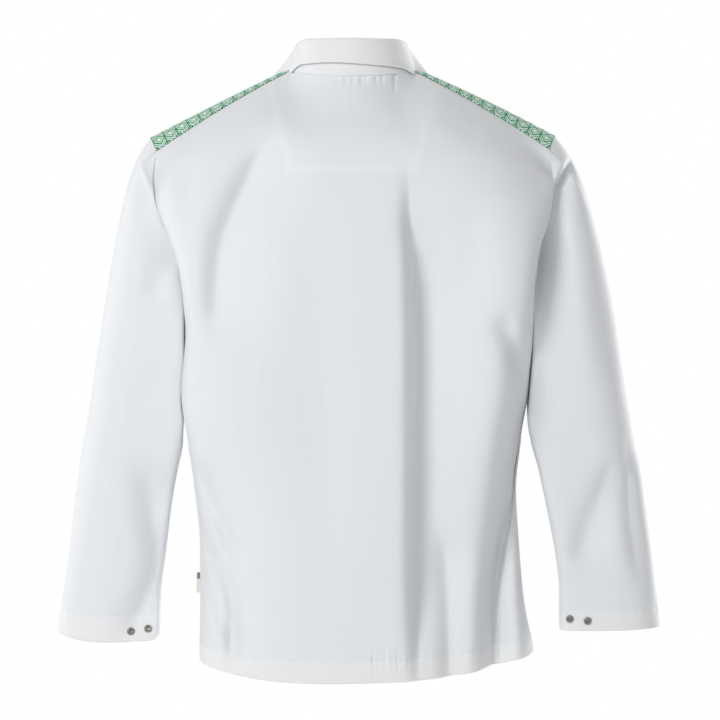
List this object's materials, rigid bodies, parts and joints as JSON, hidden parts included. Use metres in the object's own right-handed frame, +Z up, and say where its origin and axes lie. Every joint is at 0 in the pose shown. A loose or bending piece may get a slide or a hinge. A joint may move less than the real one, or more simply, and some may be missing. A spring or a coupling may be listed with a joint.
{
  "type": "pullover work tunic",
  "caption": "Long-sleeved white cotton-blend pullover work tunic with a turned-down collar and printed shoulder inserts, hollow and open at neck, hem and cuffs, filled out as worn.",
  "frame": {"origin": "middle of the neck opening, level with the tops of the shoulders", "axes": "+Z up along the wearer's body, +Y towards the wearer's front, +X towards the wearer's right arm"},
  "size_m": [0.7662, 0.2654, 0.7845],
  "materials": {
    "white_cloth": "matt plain-woven white work cloth",
    "green_print": "matt white cloth with a small green geometric print",
    "stud_steel": "dark nickel-plated press stud ring"
  },
  "bodies": {
    "root": {"back": "white_cloth", "front": "white_cloth", "sleeve_left": "white_cloth", "sleeve_right": "white_cloth", "collar_stand": "white_cloth", "collar_leaf": "white_cloth", "back_neck_facing": "white_cloth", "slit_overlap": "white_cloth", "slit_underlap": "white_cloth", "side_tab": "white_cloth", "shoulder_insert_left": "green_print", "shoulder_insert_right": "green_print", "stud_left_outer": "stud_steel", "stud_left_inner": "stud_steel", "stud_right_inner": "stud_steel", "stud_right_outer": "stud_steel"}
  },
  "joints": []
}
